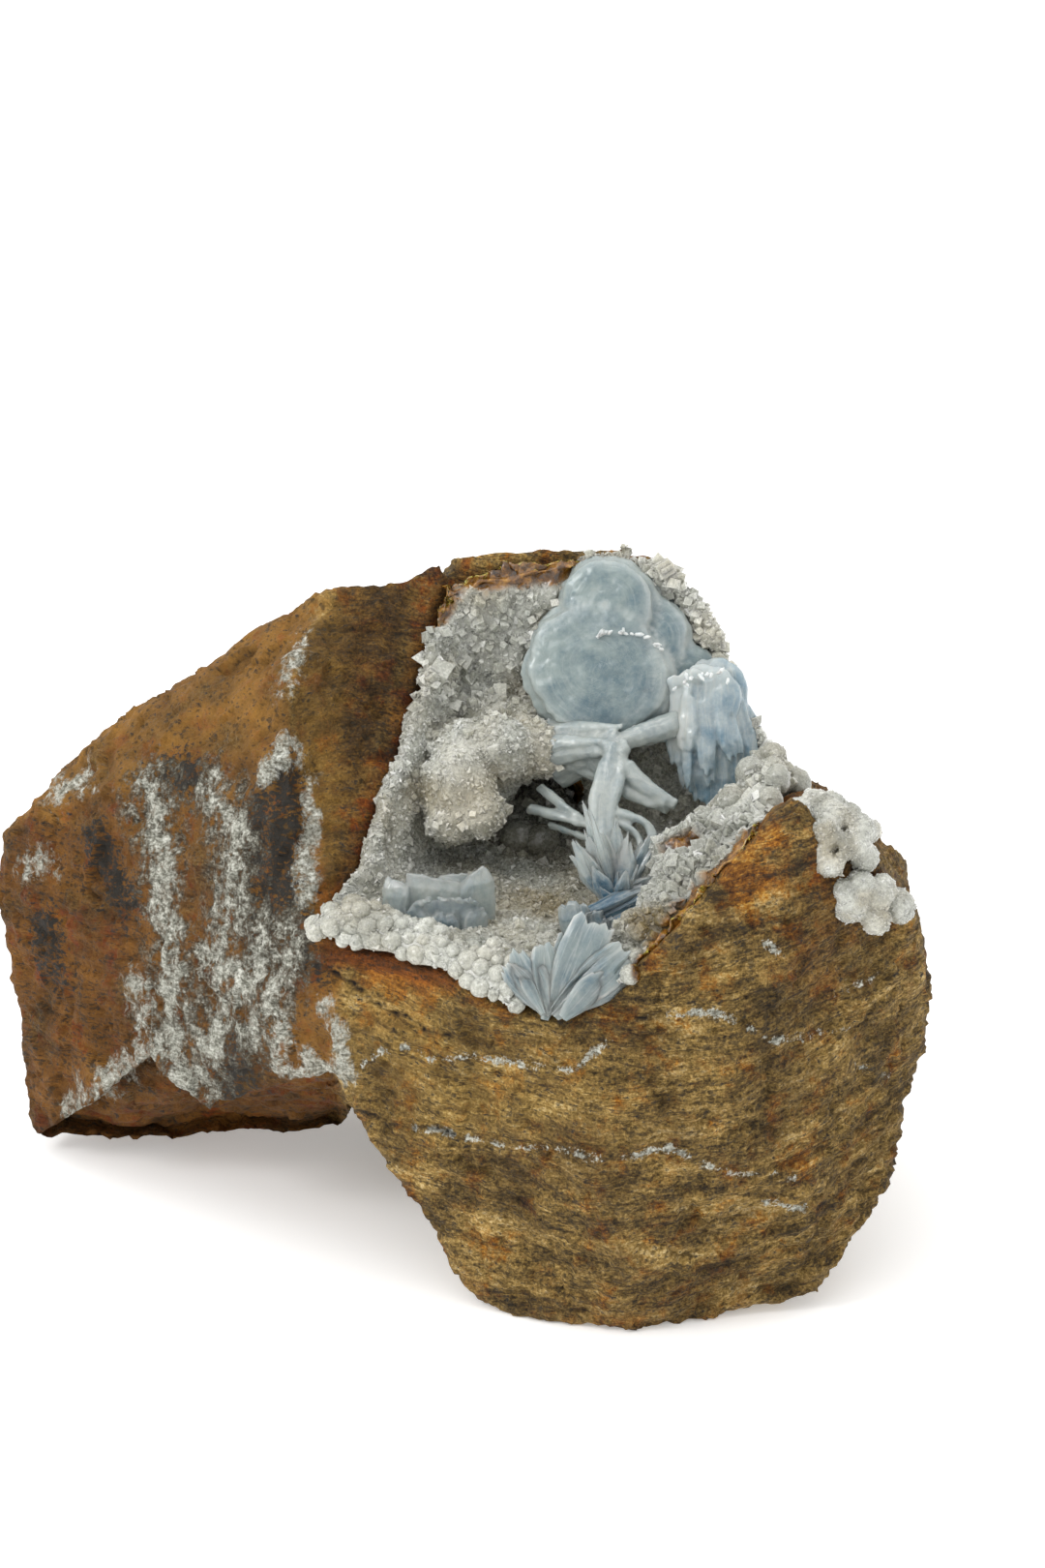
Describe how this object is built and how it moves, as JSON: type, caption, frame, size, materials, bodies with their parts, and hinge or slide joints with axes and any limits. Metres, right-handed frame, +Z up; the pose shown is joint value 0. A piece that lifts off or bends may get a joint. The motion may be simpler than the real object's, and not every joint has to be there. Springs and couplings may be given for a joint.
{
  "type": "barite on matrix",
  "caption": "Broken lump of rusty brown banded rock on two feet, with an open hollow lined with pale crystals and clusters of translucent blue barite plates and blades.",
  "frame": {"origin": "middle of the footprint's bounding box, on the surface that the two feet rest on", "axes": "+Z up, -Y towards the open side of the hollow, +X towards the white nodules on the right-hand peak"},
  "size_m": [0.1182, 0.08, 0.0813],
  "materials": {
    "limonite_rock": "rough, banded, rust-stained",
    "pale_crystals": "sugary, small glittering faces",
    "blue_barite": "translucent, vitreous, finely striated",
    "white_nodules": "matt, finely pitted"
  },
  "bodies": {
    "root": {"matrix": "limonite_rock", "crystal_crust": "pale_crystals", "barite_main_cluster": "blue_barite", "barite_left_tablets": "blue_barite", "barite_front_leaves": "blue_barite", "nodules_peak_upper": "white_nodules", "nodules_peak_lower": "white_nodules"}
  },
  "joints": []
}
